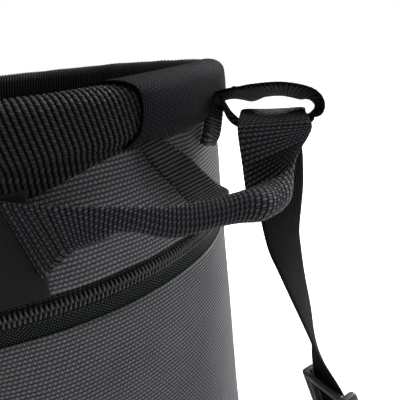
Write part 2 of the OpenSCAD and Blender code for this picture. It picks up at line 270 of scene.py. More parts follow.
# Painted shade: the hanging strap and the rim loop are the same black webbing as the other straps, in these
# much darker colours so that they look shaded under the key light that falls on them.
SHADED_WEBBING_COLOURS = (0.0012, 0.0009, 0.0014), (0.013, 0.011, 0.0135)
SHADED_WEBBING_BACK = woven(
    "shaded_black_webbing_back", *SHADED_WEBBING_COLOURS, pitch=(1.7, 1.1), depth=0.2,
    rough=0.7, sheen=0.005, wander=0.3, under=0.3, shine=0.05, crown=1.0, bar=0.8, turned=True,
)
SHADED_RIM_LOOP_WEBBING = woven(
    "shaded_black_rim_loop_webbing", *SHADED_WEBBING_COLOURS, pitch=(0.95, 1.7), depth=0.35,
    rough=0.6, sheen=0.02, wander=0.5, under=0.4, slant=0.3, shine=0.14, crown=1.0, bar=0.33,
)
LOOP_WEBBING = woven(
    "black_loop_webbing", (0.001, 0.001, 0.0015), (0.14, 0.135, 0.145), pitch=(0.8, 2.3), depth=0.4,
    rough=0.5, sheen=0.02, wander=0.3, under=0.1, slant=0.1, crown=1.8, bar=0.14,
)
PATCH = woven(
    "smooth_black_patch", (0.006, 0.006, 0.007), (0.014, 0.013, 0.015), pitch=(0.5, 0.5), depth=0.08,
    rough=0.6, sheen=0.02,
)
RIM_WEBBING = woven(
    "ribbed_rim_webbing", (0.0014, 0.0013, 0.0016), (0.028, 0.025, 0.029), pitch=(1.2, RIB_PITCH), depth=0.3,
    rough=0.6, sheen=0.03, wander=0.4, under=0.4, slant=0.3, shine=0.22, crown=1.0, bar=0.4,
)
SLEEVE_CLOTH = woven(
    "black_sleeve_cloth", (0.0022, 0.0019, 0.0024), (0.026, 0.023, 0.028), pitch=(0.9, 1.24), depth=0.28,
    rough=0.7, sheen=0.01, wander=0.7, under=0.5, slant=0.15, shine=0.07, crown=0.9, bar=0.1,
)
LINING = woven(
    "dark_lining", (0.010, 0.010, 0.011), (0.024, 0.024, 0.026), pitch=(0.35, 0.35), depth=0.05,
    rough=0.42, sheen=0.02,
)
BASE_CLOTH = woven(
    "base_cloth", (0.006, 0.006, 0.007), (0.04, 0.04, 0.042), pitch=(1.1, 1.1), depth=0.3,
    rough=0.6, sheen=0.03,
)
ZIP_TAPE = woven(
    "zip_tape", (0.0025, 0.003, 0.003), (0.060, 0.072, 0.067), pitch=(0.75, 1.05), depth=0.25,
    rough=0.6, sheen=0.02, wander=0.3, under=0.2, crown=1.2,
)
GRIP_CLOTH = woven(
    "grip_cloth", (0.004, 0.004, 0.005), (0.045, 0.044, 0.048), pitch=(0.7, 0.7), depth=0.2,
    rough=0.6, sheen=0.05,
)
THREAD = woven(
    "black_thread", (0.008, 0.008, 0.009), (0.09, 0.09, 0.095), pitch=(0.3, 0.5), depth=0.1,
    rough=0.5, sheen=0.05,
)
COIL = moulded("nylon_coil", (0.014, 0.017, 0.016), 0.45)
PLASTIC = moulded("slider_plastic", (0.030, 0.030, 0.032), 0.45, grain=0.08)
PAINTED = moulded("painted_metal", (0.02, 0.02, 0.022), 0.33, grain=0.02, metallic=0.6, wear=3.0)
EYELET = moulded("plated_eyelet", (0.20, 0.18, 0.15), 0.35, grain=0.02, metallic=1.0)
ROD = moulded("hoop_rod", (0.6, 0.6, 0.57), 0.5)
TUBE = moulded("ferrule_tube", (0.6, 0.6, 0.62), 0.3, grain=0.01, metallic=1.0)
FOAM = moulded("closed_foam", (0.2, 0.2, 0.2), 0.9, grain=0.3)


# ---------------------------------------------------------------- mesh helpers

def around(r, angle, z):
    """Points at radius r, angle in degrees and height z."""
    a = np.radians(angle)
    return np.stack(np.broadcast_arrays(r * np.cos(a), r * np.sin(a), z), -1).astype(float)


def unit(v):
    return v / np.maximum(np.linalg.norm(v, axis=-1, keepdims=True), 1e-9)


def smoothstep(low, high, x):
    t = np.clip((np.asarray(x, float) - low) / (high - low), 0, 1)
    return t * t * (3 - 2 * t)


def spline(points, k=12):
    """A smooth curve through every row of points, with k steps between neighbours."""
    p = np.asarray(points, float)
    padded = np.vstack([2 * p[0] - p[1], p, 2 * p[-1] - p[-2]])
    t = np.arange(k)[:, None] / k
    made = []
    for a, b, c, d in zip(padded, padded[1:], padded[2:], padded[3:]):
        square = 2 * a - 5 * b + 4 * c - d
        cubic = 3 * b - a - 3 * c + d
        made.append(0.5 * (2 * b + (c - a) * t + square * t**2 + cubic * t**3))
    return np.vstack([*made, p[-1:]])


def distances(line):
    """How far along the line each of its points lies."""
    return np.concatenate([[0], np.cumsum(np.linalg.norm(np.diff(line, axis=0), axis=1))])


def even(values, line, step):
    """values resampled at even steps along line; returns them and the distances."""
    run = distances(line)
    at = np.linspace(0, run[-1], max(3, int(run[-1] / step) + 1))
    flat = values.reshape(len(values), -1)
    made = np.stack([np.interp(at, run, column) for column in flat.T], -1)
    return made.reshape(len(at), *values.shape[1:]), at


def mesh_piece(name, points, faces, corners, material, side=1):
    """A smooth-shaded mesh from millimetre points, quads and the cloth coordinates of their corners."""
    points = points.reshape(-1, 3) * [side, 1, 1] * MM
    if side < 0:
        faces, corners = faces[:, ::-1], corners[:, ::-1]
    mesh = bpy.data.meshes.new(name)
    mesh.from_pydata(points.tolist(), [], faces.tolist())
    layer = mesh.uv_layers.new(name="cloth")
    layer.uv.foreach_set("vector", corners.reshape(-1).astype(np.float32))
    mesh.materials.append(material)
    mesh.polygons.foreach_set("use_smooth", [True] * len(faces))
    mesh.update()
    return link(name, mesh)


def grid_quads(rows, cols, wrap_rows, wrap_cols):
    r, c = np.meshgrid(
        np.arange(rows if wrap_rows else rows - 1), np.arange(cols if wrap_cols else cols - 1), indexing="ij"
    )
    return [(r, c), (r, c + 1), (r + 1, c + 1), (r + 1, c)]


def end_caps(rows, cols, u, v):
    """Quads that close both ends of a section whose second half runs back along its first half."""
    faces, corners = [], []
    for row in (0, rows - 1):
        for c in range(cols // 2 - 1):
            quad = [c, cols - 1 - c, cols - 2 - c, c + 1]
            quad = quad if row == 0 else quad[::-1]
            faces.append([row * cols + q for q in quad])
            corners.append([[u[q], v[row]] for q in quad])
    return np.array(faces), np.array(corners)


def grid(name, points, u, v, material, side=1, wrap_rows=False, wrap_cols=False, caps=False):
    """A surface through points[row][column]; u runs over the columns and v over the rows, in millimetres."""
    rows, cols = points.shape[:2]
    at = grid_quads(rows, cols, wrap_rows, wrap_cols)
    faces = np.stack([(r % rows) * cols + c % cols for r, c in at], -1).reshape(-1, 4)
    corners = np.stack([np.stack([u[c], v[r]], -1) for r, c in at], -2).reshape(-1, 4, 2)
    if caps:
        cap_faces, cap_corners = end_caps(rows, cols, u, v)
        faces, corners = np.vstack([faces, cap_faces]), np.concatenate([corners, cap_corners])
    return mesh_piece(name, points, faces, corners, material, side)


def run_of(points):
    """Distances along a closed line of points, with the closing step at the end."""
    return distances(np.vstack([points, points[:1]]))


def surface_normals(surface):
    along = np.gradient(surface, axis=0)
    across = np.gradient(surface, axis=1)
    return unit(np.cross(across, along))


# Ribs too wide and low to see, for a strip of plain cloth
PLAIN = {"rib": 900, "rib_height": 0}


def strip(name, surface, v, material, side=1, thick=WEB_T, rib=1.7, rib_height=0.16, scallop=0.12,
          phase=None):
    """Webbing with rounded selvedges about a surface[row along][column across].

    Its ribs are rib apart along v, unless phase counts them row by row.
    """
    rows, cols = surface.shape[:2]
    x = np.linspace(-1, 1, cols)
    edge = np.sqrt(np.clip(1 - np.abs(x) ** 8, 0, 1)) * 0.75 + 0.25
    wave = 0.5 - 0.5 * np.cos(2 * np.pi * (v / rib if phase is None else phase))
    normal = surface_normals(surface)
    across = unit(surface[:, -1] - surface[:, -2]), unit(surface[:, 0] - surface[:, 1])
    body = surface.copy()
    body[:, -1] += across[0] * (wave * scallop)[:, None]
    body[:, 0] += across[1] * (wave * scallop)[:, None]
    front = (thick / 2 + rib_height * wave)[:, None] * edge
    back = (thick / 2 + rib_height * (1 - wave))[:, None] * edge
    loop = np.concatenate([body + normal * front[..., None], (body - normal * back[..., None])[:, ::-1]], 1)
    run = distances(surface[rows // 2])
    u = np.concatenate([run, 2 * run[-1] + WEB_T - run[::-1], [2 * run[-1] + 2 * WEB_T]])
    return grid(name, loop, u, v, material, side, wrap_cols=True, caps=True)


def webbing(name, middle, wide, width, side=1, material=WEBBING, bow=0.0, step=0.45, across=20, **more):
    """A strap of constant width along middle; wide gives its width direction at each control point."""
    both, v = even(np.hstack([spline(middle), spline(wide)]), spline(middle), step)
    line, lean = both[:, :3], both[:, 3:]
    along = unit(np.gradient(line, axis=0))
    lean = unit(lean - along * np.sum(lean * along, 1, keepdims=True))
    out = np.cross(lean, along)
    x = np.linspace(-1, 1, across)
    sideways = lean[:, None] * (x * width / 2)[:, None]
    surface = line[:, None] + sideways + out[:, None] * (bow * (1 - x**2))[:, None]
    return strip(name, surface, v, material, side, **more)


# How far the cloth coordinates move from one small copy to the next, so that their fibres differ
COPY_SHIFT = 1.7


def copies(name, template, quads, places, material, side=1):
    """One mesh of the same small shape at many places: places are (origin, x axis, y axis, z axis) arrays."""
    origin, ax, ay, az = places
    points = (
        origin[:, None] + template[None, :, :1] * ax[:, None] + template[None, :, 1:2] * ay[:, None]
        + template[None, :, 2:] * az[:, None]
    )
    n, k = len(origin), len(template)
    faces = (quads[None] + np.arange(n)[:, None, None] * k).reshape(-1, 4)
    flat = np.broadcast_to(template[quads][..., :2], (n, len(quads), 4, 2))
    shift = np.arange(n)[:, None, None, None] * COPY_SHIFT
    return mesh_piece(name, points, faces, (flat + shift).reshape(-1, 4, 2), material, side)


def tube(line, radius, sides=6, flat=1.0):
    """Points and quads of a round tube with closed ends along a short line; flat squashes its third axis."""
    line = np.asarray(line, float)
    along = unit(np.gradient(line, axis=0))
    up = unit(np.cross(along, [0.13, 0.21, 1.0]))
    other = np.cross(along, up)
    a = np.arange(sides) * 2 * np.pi / sides
    radius = np.asarray(radius, float) * np.ones(len(line))
    ring = up[:, None] * np.cos(a)[:, None] + other[:, None] * np.sin(a)[:, None]
    points = line[:, None] + ring * radius[:, None, None]
    points[..., 2] = line[:, None, 2] + (points[..., 2] - line[:, None, 2]) * flat
    at = grid_quads(len(line), sides, False, True)
    quads = np.stack([r * sides + c % sides for r, c in at], -1).reshape(-1, 4)
    return points.reshape(-1, 3), quads


def stitch_shape(length=2.2, radius=0.3):
    """One stitch: along x, bulging towards z, its ends dipping into the cloth."""
    x = np.linspace(-0.5, 0.5, 6) * length
    z = 0.32 * (1 - (2 * x / length) ** 2) - 0.22
    line = np.stack([x, 0 * x, z], -1)
    return tube(line, radius * np.array([0.45, 0.9, 1, 1, 0.9, 0.45]))


def stitch_row(name, line, normal, material=THREAD, side=1, pitch=3.0, length=2.2, radius=0.3):
    """Stitches along a line on a surface with the given normals."""
    both, _ = even(np.hstack([line, normal]), line, pitch)
    middle = (both[1:] + both[:-1]) / 2
    along = unit(np.diff(both[:, :3], axis=0))
    up = unit(middle[:, 3:] - along * np.sum(middle[:, 3:] * along, 1, keepdims=True))
    template, quads = stitch_shape(length, radius)
    return copies(name, template, quads, (middle[:, :3], along, np.cross(up, along), up), material, side)


def ring_stitches(name, r, z, from_angle, to_angle, material=THREAD, **more):
    angle = np.linspace(from_angle, to_angle, max(8, int(abs(to_angle - from_angle) * 2)))
    line = around(r, angle, z)
    return stitch_row(name, line, around(1.0, angle, 0 * angle), material, **more)


def rounded_blocks(name, blocks, material, basis, origin, side=1):
    """Boxes with rounded edges in one piece: blocks are (centre, size, rounding) in a local basis."""
    build = bmesh.new()
    for centre, size, rounding in blocks:
        part = bmesh.new()
        bmesh.ops.create_cube(part, size=1)
        bmesh.ops.scale(part, vec=size, verts=part.verts)
        edges = part.edges[:]
        bmesh.ops.bevel(
            part, geom=edges, offset=rounding, segments=4, profile=0.5, affect="EDGES", clamp_overlap=True
        )
        bmesh.ops.translate(part, vec=centre, verts=part.verts)
        scratch = bpy.data.meshes.new("scratch")
        part.to_mesh(scratch)
        build.from_mesh(scratch)
        bpy.data.meshes.remove(scratch)
        part.free()
    turn = Matrix(basis).transposed().to_4x4()
    build.transform(Matrix.Translation(Vector(origin)) @ turn)
    build.transform(Matrix.Diagonal((side * MM, MM, MM, 1)))
    bmesh.ops.recalc_face_normals(build, faces=build.faces)
    mesh = bpy.data.meshes.new(name)
    build.to_mesh(mesh)
    build.free()
    mesh.materials.append(material)
    mesh.polygons.foreach_set("use_smooth", [True] * len(mesh.polygons))
    return link(name, mesh)


def wear(piece, body, slot, *nodes):
    """Puts a finished piece on its body and hides the CAD nodes that it stands for."""
    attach(piece, body)
    if nodes:
        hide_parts(*nodes)
    return piece


def name_of(base, side):
    return f"{base}_{'right' if side > 0 else 'left'}"


# ---------------------------------------------------------------- wall panels

def slack(angle, z, low, top):
    """How far the cloth stands off a true cylinder: soft waves that fade out towards both hems."""
    inside = smoothstep(low, low + 25, z) * (1 - smoothstep(top - 25, top - 4, z))
    a = np.radians(angle)
    waves = 0.55 * np.sin(3 * a + z / 61) + 0.35 * np.sin(7 * a - z / 37 + 1) + 0.2 * np.sin(13 * a + z / 23)
    return waves * inside


CLOTH_FOOT = 0.4


def panel(name, node, from_angle, arc, low, top, hem=9.0, extra=None, thick=1.4):
    """A woven panel, doubled outside over the height of its top hem, as one thin closed shell."""
    angle = from_angle + np.linspace(0, arc, int(arc) + 1)
    bend = np.linspace(0, np.pi, 9)[1:-1]
    z = np.linspace(low, top - thick / 2, max(14, int((top - low) / 5)))
    out = np.full_like(z, WALL_R)
    r = np.concatenate([out, WALL_R - thick / 2 + thick / 2 * np.cos(bend), out - thick])
    z = np.concatenate([z, top - thick / 2 + thick / 2 * np.sin(bend), z[::-1]])
    a, zz = np.meshgrid(angle, z, indexing="ij")
    doubled = 0.35 * smoothstep(top - hem - 1.5, top - hem, zz) * (r > WALL_R - 0.1)
    rr = r[None] + slack(a, zz, low, top) + doubled
    if extra is not None:
        rr = rr + extra(a, zz)
    points = around(rr, a, zz)
    v = run_of(np.stack([r, z], -1))
    piece = grid(name, points, v, np.radians(angle) * WALL_R, CLOTH_GRAY, wrap_cols=True, caps=True)
    cross_cloth(piece)
    wear(piece, "bag", "shell_fabric", node)


def cross_cloth(piece):
    """Swaps the two cloth coordinates, so that the panel's threads run up the wall."""
    layer = piece.data.uv_layers["cloth"]
    flat = np.empty(len(layer.uv) * 2, np.float32)
    layer.uv.foreach_get("vector", flat)
    layer.uv.foreach_set("vector", flat.reshape(-1, 2)[:, ::-1].reshape(-1))


def collar_crease(angle, z):
    """The soft fold where the collar meets the side loop's seam."""
    return 1.1 * np.exp(-(((angle + 7 + (z - 350) * 0.06) / 3.2) ** 2)) * smoothstep(326, 345, z)


COLLAR_HEM = COLLAR_TOP - COLLAR_LOW
panel("pocket_cloth", "pocket_panel", ZIP_FROM, ZIP_ARC, CLOTH_FOOT, POCKET_TOP)
panel("collar_cloth", "collar_panel", ZIP_FROM, ZIP_ARC, COLLAR_LOW, COLLAR_TOP, COLLAR_HEM, collar_crease)
panel("back_cloth", "back_panel", ZIP_FROM + ZIP_ARC + 0.1, 360 - ZIP_ARC - 0.2, CLOTH_FOOT, COLLAR_TOP)


def seam_tape(label, angle, *nodes):
    """A flat tape behind the joint of the pocket and back panels; it follows the slack of both."""
    turn = angle + np.linspace(-3.5, 3.5, 16)[None]
    low, top = (corner("side_seam_tapes", which, 2) for which in (0, 1))
    z = np.linspace(low + 0.5, top - 0.5, 340)[:, None]
    off = np.minimum(slack(turn, z, CLOTH_FOOT, POCKET_TOP), slack(turn, z, CLOTH_FOOT, COLLAR_TOP))
    surface = around(WALL_R - 2.15 + off, turn, z)
    piece = strip(f"seam_tape_{label}", surface, z[:, 0], RIM_WEBBING, thick=0.7, rib_height=0.1)
    wear(piece, "bag", "binding_tape", *nodes)


seam_tape("a", ZIP_FROM, "side_seam_tapes")
seam_tape("b", ZIP_FROM + ZIP_ARC)


def lining():
    """The inner wall: smooth coated cloth with shallow wrinkles."""
    angle = np.arange(0, 360, 1.5)
    z = np.linspace(FLOOR_Z + 0.3, COLLAR_TOP - 1, 50)
    r = np.concatenate([np.full_like(z, LINER_R), np.full_like(z, LINER_R - 1.0)])
    z = np.concatenate([z, z[::-1]])
    a, zz = np.meshgrid(angle, z, indexing="ij")
    wrinkles = slack(a + 40, zz * 1.3, 0, COLLAR_TOP * 1.3)
    rr = r[None] + 0.8 * wrinkles * smoothstep(20, 60, zz)
    u = run_of(np.stack([r, z], -1))
    v = np.append(np.radians(angle), 2 * np.pi) * LINER_R
    piece = grid("lining_wall", around(rr, a, zz), u, v, LINING, wrap_rows=True, wrap_cols=True)
    wear(piece, "bag", "lining_fabric", "liner")


def disc(name, node, slot, material, radius, z, thick, ripple):
    """A round cloth with a soft ripple, as a thin closed shell without holes under the drain eyelets."""
    r = np.concatenate([np.linspace(0.5, radius, 40), np.linspace(radius, 0.5, 40)])
    h = np.concatenate([np.full(40, thick), np.zeros(40)])
    angle = np.arange(0, 360, 4.0)
    a, rr = np.meshgrid(angle, r, indexing="ij")
    wave = ripple * np.sin(rr / 17 + 2 * np.sin(np.radians(2 * a))) * smoothstep(0, 20, rr)
    wave = wave * (1 - smoothstep(radius - 25, radius - 5, rr))
    points = around(rr, a, z + h[None] + wave)
    v = np.append(np.radians(angle), 2 * np.pi) * radius / 2
    piece = grid(name, points, run_of(np.stack([r, h], -1)), v, material, wrap_rows=True, wrap_cols=True)
    wear(piece, "bag", slot, node)


lining()
disc(
    "floor_cloth", "liner_floor", "lining_fabric", LINING,
    radius=LINER_R - 0.4, z=FLOOR_Z - 0.8, thick=0.7, ripple=0.12,
)
disc(
    "base_cloth", "base_panel", "base_fabric", BASE_CLOTH,
    radius=WALL_R - 2, z=0.1, thick=1.7, ripple=0.0,
)


# ---------------------------------------------------------------- zip

def zip_tape(name, node, low, top):
    angle = ZIP_FROM + np.linspace(0, ZIP_ARC, 260)
    surface = around(WALL_R - 1.75, angle[:, None], np.linspace(low, top, 14)[None])
    piece = strip(name, surface, np.radians(angle) * WALL_R, ZIP_TAPE, thick=0.8, **PLAIN)
    wear(piece, "bag", "zip_tape", node)


def coil(name, node, up):
    """Half of the chain: nylon loops that cross the middle line and lean into the other half's gaps."""
    pitch = 2.0
    angle = np.radians(np.arange(ZIP_FROM + 1.6, ZIP_FROM + ZIP_ARC - 1.6, math.degrees(pitch / WALL_R)))
    angle = angle + (0.5 if up > 0 else 0.0) * pitch / WALL_R
    line = [[-0.1, up * 3.1, -1.0], [-0.25, up * 3.0, 0.2], [-0.1, up * 2.0, 0.95], [0.15, up * 0.8, 0.75],
            [0.3, up * -0.35, 0.35], [0.32, up * -0.6, -0.5]]
    template, quads = tube(line, [0.42, 0.48, 0.5, 0.5, 0.55, 0.4], 7)
    origin = around(WALL_R - 0.6, np.degrees(angle), ZIP_Z)
    along = np.stack([-np.sin(angle), np.cos(angle), 0 * angle], -1)
    out = np.stack([np.cos(angle), np.sin(angle), 0 * angle], -1)
    up_axis = np.broadcast_to([0.0, 0.0, 1.0], out.shape)
    piece = copies(name, template, quads, (origin, along, up_axis, out), COIL)
    wear(piece, "bag", "zip_coil", node)


def zip_ends():
    """A metal stop and a sewn tab at each end of the chain, and a row of stitches along each tape."""
    end = ZIP_FROM + ZIP_ARC
    for label, angle in (("a", ZIP_FROM + 0.6), ("b", end - 0.6)):
        a = math.radians(angle)
        basis = ((-math.sin(a), math.cos(a), 0), (math.cos(a), math.sin(a), 0), (0, 0, 1))
        origin = around(WALL_R - 0.2, angle, ZIP_Z)
        blocks = [((0, 0, 0), (1.5, 2.4, 7.2), 0.5)]
        piece = rounded_blocks(f"zip_stop_{label}", blocks, PAINTED, basis, origin)
        wear(piece, "bag", "zip_metal", *(["zip_stops"] if label == "a" else []))
    for label, start in (("a", ZIP_FROM - 8), ("b", end)):
        angle = np.linspace(start, start + 8, 42)
        surface = around(WALL_R + 0.9, angle[:, None], np.linspace(POCKET_TOP - 6, COLLAR_LOW + 5, 14)[None])
        surface = surface.transpose(1, 0, 2)[::-1]
        dense, v = even(surface, surface[:, 0], 0.5)
        piece = strip(f"zip_end_tab_{label}", dense, v, WEBBING, thick=1.0, rib_height=0.12)
        wear(piece, "bag", "zip_tape", *(["zip_end_tabs"] if label == "a" else []))
    for label, z in (("lower", ZIP_Z - 4.6), ("upper", ZIP_Z + 4.3)):
        row = ring_stitches(
            f"zip_stitches_{label}", WALL_R - 1.15, z, ZIP_FROM + 2, end - 2,
            pitch=2.0, length=1.5, radius=0.34,
        )
        wear(row, "bag", "zip_tape")


zip_tape("zip_tape_below", "zip_tape_lower", ZIP_Z - 17, ZIP_Z - 0.7)
zip_tape("zip_tape_above", "zip_tape_upper", ZIP_Z + 0.7, ZIP_Z + 17)
coil("zip_teeth_below", "zip_coil_lower", -1)
coil("zip_teeth_above", "zip_coil_upper", 1)
zip_ends()


def zip_slider():
    """Painted slider body with a crown, and a pull tab that hangs from the crown's pin."""
    angle = math.radians(ZIP_FROM + 6)
    out = np.array([math.cos(angle), math.sin(angle), 0])
    along = np.array([-math.sin(angle), math.cos(angle), 0])
    basis = (tuple(along), tuple(out), (0, 0, 1))
    origin = out * WALL_R + np.array([0, 0, ZIP_Z])
    body = [
        ((0, 2.1, 0), (9, 1.8, 11), 0.8),
        ((-2.4, 2.1, 0), (4.4, 1.9, 9), 0.8),
        ((0, -4.5, 0), (8.6, 1.6, 9), 0.7),
        ((0, 3.6, 2.2), (3.8, 3.2, 1.6), 0.7),
        ((0, 3.6, -2.2), (3.8, 3.2, 1.6), 0.7),
        ((0, 6.6, 0), (3.8, 1.2, 6), 0.5),
    ]
    piece = rounded_blocks("zip_slider_body", body, PAINTED, basis, origin)
    wear(piece, "zip_slider", "zip_slider_metal", "zip_slider")
    pin_r = 135.4
    pin = out * pin_r + np.array([0, 0, ZIP_Z])
    pull = [
        ((0, 0, 0), (6.2, 1.7, 1.7), 0.7),
        ((3.5, 0, -4), (1.9, 1.8, 9.6), 0.7),
        ((-3.5, 0, -4), (1.9, 1.8, 9.6), 0.7),
        ((0, 0, -9), (8.8, 1.8, 3), 0.8),
        ((0, 0, -19), (8.2, 1.6, 20), 0.75),
        ((0, 0, -27), (9, 2.0, 6), 0.9),
    ]
    pull += [((0, 0, z), (6.4, 2.3, 0.9), 0.4) for z in (-14, -16, -18, -20, -22)]
    piece = rounded_blocks("zip_pull_tab", pull, PAINTED, basis, pin)
    wear(piece, "zip_pull", "zip_slider_metal", "zip_pull")


zip_slider()


# ---------------------------------------------------------------- rim

def roll_heights(a, radius):
    """Heights round the roll's tall oval section, whose two half rounds have the given radius."""
    flank = np.sign(np.sin(a)) * np.minimum(1, np.abs(np.sin(a)) * 3)
    return (ROLL_HIGH + ROLL_LOW) / 2 + radius * np.sin(a) + flank * (ROLL_HIGH - ROLL_LOW) / 2


def oval(radius, count):
    """The section about the roll's line: (r, z) points and their outward directions."""
    a = np.linspace(0, 2 * np.pi, count, endpoint=False)
    section = np.stack([ROLL_AT + radius * np.cos(a), roll_heights(a, radius)], -1)
    return section, np.stack([np.cos(a), np.sin(a)], -1)


RIB_LEAN = 0.2
KNOT_PITCH = 2.4


def rim_roll():
    """The padded roll under slanted ribs of knotted yarn."""
    steps = 6
    count = RIM_RIBS * steps
    section, out = oval(ROLL_R - 0.3, 88)
    run = run_of(section)
    a = np.arange(count) * 2 * np.pi / count
    rib = np.abs(np.sin(np.pi * np.arange(count) / steps)) ** 0.7
    turn = np.pi * (np.arange(count) // steps)
    knots = 0.5 + 0.5 * np.cos(2 * np.pi * run[:-1][None] / KNOT_PITCH + turn[:, None])
    swell = 0.15 * np.sin(9 * a + 1) + 0.12 * np.sin(17 * a + 2) + 0.1 * np.sin(31 * a)
    lift = rib[:, None] * (0.85 + 0.4 * knots) - 0.5 + swell[:, None]
    profile = section[None] + out[None] * lift[..., None]
    middle = (ROLL_HIGH + ROLL_LOW) / 2
    lean = RIB_LEAN * (middle - section[:, 1]) / ROLL_OUT
    points = around(profile[..., 0], np.degrees(a[:, None] + lean[None]), profile[..., 1])
    v = np.append(a, 2 * np.pi) * ROLL_OUT
    piece = grid("rim_roll", points, run, v, RIM_WEBBING, wrap_rows=True, wrap_cols=True)
    wear(piece, "bag", "rim_webbing", "rim_cover")


def rim_foam():
    """Foam tube inside the roll, with a slit below and a bore for the hoop that widens at the ferrule."""
    foam_r, slit = 6.1, 0.15
    hoop_z = (corner("rim_hoop", 0, 2) + corner("rim_hoop", 1, 2)) / 2
    bore = (corner("rim_hoop", 1, 2) - corner("rim_hoop", 0, 2)) / 2 + 0.35
    wide_bore = (corner("hoop_ferrule", 1, 2) - corner("hoop_ferrule", 0, 2)) / 2 + 0.35
    ends = [[corner("hoop_ferrule", which, axis) for axis in (0, 1)] for which in (0, 1)]
    centre = math.degrees(math.atan2(ends[0][1] + ends[1][1], ends[0][0] + ends[1][0]))
    half = math.degrees((ends[1][0] - ends[0][0]) / 2 / ROLL_AT)
    angle = np.arange(0, 360, 1.0)
    off = np.abs((angle - centre + 180) % 360 - 180)
    bores = wide_bore + (bore - wide_bore) * smoothstep(half + 1.0, half + 3.0, off)
    outer = np.radians(np.linspace(-90, 270, 62))
    r = foam_r * np.cos(outer)
    z = roll_heights(outer, foam_r)
    r[0], r[-1] = slit, -slit
    inner = np.radians(np.linspace(268, -88, 36))
    rows = []
    for size, dent in zip(bores, 0.1 * np.sin(np.radians(angle) * 23)):
        rows.append(np.stack([
            ROLL_AT + np.concatenate([r * (1 + dent / foam_r), size * np.cos(inner)]),
            np.concatenate([z, hoop_z + size * np.sin(inner)]),
        ], -1))
    rows = np.array(rows)
    v = np.radians(np.append(angle, 360)) * ROLL_AT
    points = around(rows[..., 0], angle[:, None], rows[..., 1])
    piece = grid("foam_tube", points, run_of(rows[0]), v, FOAM, wrap_rows=True, wrap_cols=True)
    wear(piece, "bag", "foam", "rim_foam")


def lip_edge(angle):
    """The lip's lower edge: it rises towards the side sleeves."""
    off = np.abs((np.asarray(angle) + 180) % 360 - 180)
    off = np.minimum(off, 180 - off)
    return LIP_LOW - 4 + 11 * (1 - smoothstep(26, 52, off))


LIP_ANGLES = np.arange(1401) * 360 / 1400


def rim_lip(name, r, low):
    """The flat edge of the rim's webbing, sewn down to the wall; low is its lower edge at each angle."""
    share = np.linspace(0, 1, 12)
    z = low[:, None] + (ROLL_LOW + 1 - low[:, None]) * share
    surface = around(r + 0 * z, LIP_ANGLES[:, None], z)
    v = np.radians(LIP_ANGLES) * ROLL_OUT
    piece = strip(name, surface, v, RIM_WEBBING, thick=1.0, rib=2.35, rib_height=0.3)
    wear(piece, "bag", "rim_webbing")


def sleeve(side):
    """Finer cloth wrapped over the roll, bulging a little, its front edge bowed."""
    length, rows = 113, 110
    a = np.radians(np.linspace(-62, 242, 70))
    swell = 9.6 + 0.5 * np.sin(3 * a)
    r = ROLL_AT + swell * np.cos(a)
    z = roll_heights(a, swell)
    front = -28.2 + 4.2 * np.clip(np.cos(a - 0.25), 0, 1) ** 1.5
    back = 21.5 - 1.5 * np.clip(np.cos(a), 0, 1)
    t = np.linspace(0, 1, rows)[:, None]
    angle = front + (back - front) * t
    lump = 0.35 * np.sin(angle / 4.1 + 3 * a) + 0.25 * np.sin(angle / 2.3 - 2 * a)
    end = 1 - 0.9 * np.exp(-t * 26) - 0.6 * np.exp(-(1 - t) * 26)
    reach = (r - ROLL_AT) * (1 + (lump * end + 0.5 * np.sin(np.pi * t)) / 10.6) + ROLL_AT
    surface = around(reach, angle, z + 0 * t + (np.sin(np.pi * t) * 0.8) * np.clip(np.sin(a), 0, 1))
    v = np.linspace(0, length, rows)
    piece = strip(name_of("sleeve_cloth", side), surface, v, SLEEVE_CLOTH, side, thick=1.3, **PLAIN)
    wear(piece, "bag", "sleeve_fabric", name_of("sleeve", side))


rim_roll()
rim_foam()
rim_lip("rim_lip_outer", WALL_R + 0.95, lip_edge(LIP_ANGLES))
rim_lip("rim_lip_inner", LINER_R - 2.0, np.full(len(LIP_ANGLES), LIP_LOW))
for side in (1, -1):
    sleeve(side)


# ---------------------------------------------------------------- side loops

RIM_LOOP = [(137, 12, 381), (143, 3, 379), (149, -7, 376.5), (157, -13, 374), (171, -9.5, 373),
            (181.5, -5.5, 373.4), (186, -4, 376), (187.5, -4.5, 380), (184, -6.5, 384.6),
            (174, -9, 388), (162, -8, 388), (150, -2, 385.5), (138, 10, 382.5)]
ROOT_WIDE, LOW_WIDE = (-0.2, 0.95, 0.2), (-0.27, 0.95, 0.02)
STEM_WIDE, TURN_WIDE = (0.26, 0.46, -0.85), (0.2, 0.7, -0.6)
TIP_WIDE, HIGH_WIDE = (-0.24, 0.95, -0.22), (-0.26, 0.9, -0.37)


def rim_loop(side):
    wide = [STEM_WIDE] * 2 + [TURN_WIDE] + [LOW_WIDE] * 3 + [TIP_WIDE] * 2 + [HIGH_WIDE] * 4 + [ROOT_WIDE]
    name = name_of("rim_loop_webbing", side)
    # painted shade: the loop takes the darkened copy of the black webbing
    piece = webbing(name, RIM_LOOP, wide, 21.0, side, thick=1.5, material=SHADED_RIM_LOOP_WEBBING)
    wear(piece, "bag", "webbing", name_of("rim_loop", side))


def loop_anchor(side):
    """The loop's ends, doubled and gathered under the sleeve's edge."""
    middle = [(135.5, 7, 388), (136.6, 4, 383), (137, 0, 377), (136.6, -3, 370), (135.6, -5, 366),
              (134.2, -5.6, 362.8)]
    wide = [(0.2, 0.95, 0.2)] * 2 + [(0.3, 0.95, 0)] * 4
    piece = webbing(
        name_of("loop_anchor_webbing", side), middle, wide, 12.0, side,
        bow=0.8, scallop=0.7, rib=2.6, rib_height=0.4, thick=3.6,
    )
    wear(piece, "bag", "webbing", name_of("loop_anchor", side))


